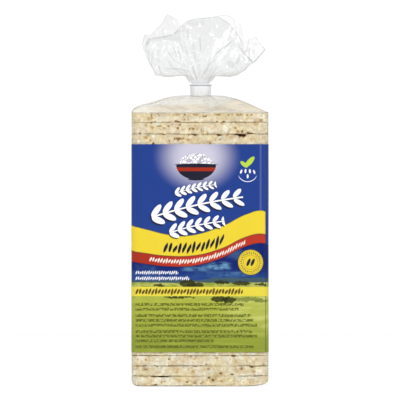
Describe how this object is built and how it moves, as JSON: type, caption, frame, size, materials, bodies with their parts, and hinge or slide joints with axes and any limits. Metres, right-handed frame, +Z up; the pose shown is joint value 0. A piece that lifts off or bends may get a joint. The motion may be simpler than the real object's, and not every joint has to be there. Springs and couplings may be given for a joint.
{
  "type": "bag of puffed rice cakes",
  "caption": "Upright clear bag tightly packed with a square stack of thin puffed rice cakes, printed wrap, banded neck and a ruffled film top.",
  "frame": {"origin": "middle of the flat base", "axes": "+Z up through the neck, front of the printed wrap towards -Y"},
  "size_m": [0.0884, 0.0884, 0.2398],
  "materials": {
    "puffed_rice": "porous puffed rice, cream with tan grains, seen through clear film",
    "clear_film": "thin glossy clear film with creases",
    "printed_film": "glossy printed film: blue field, yellow and red bands, green field",
    "band_plastic": "satin translucent white"
  },
  "bodies": {
    "root": {"rice_cakes": "puffed_rice", "bag": "clear_film", "printed_wrap": "printed_film", "neck_band": "band_plastic"}
  },
  "joints": []
}
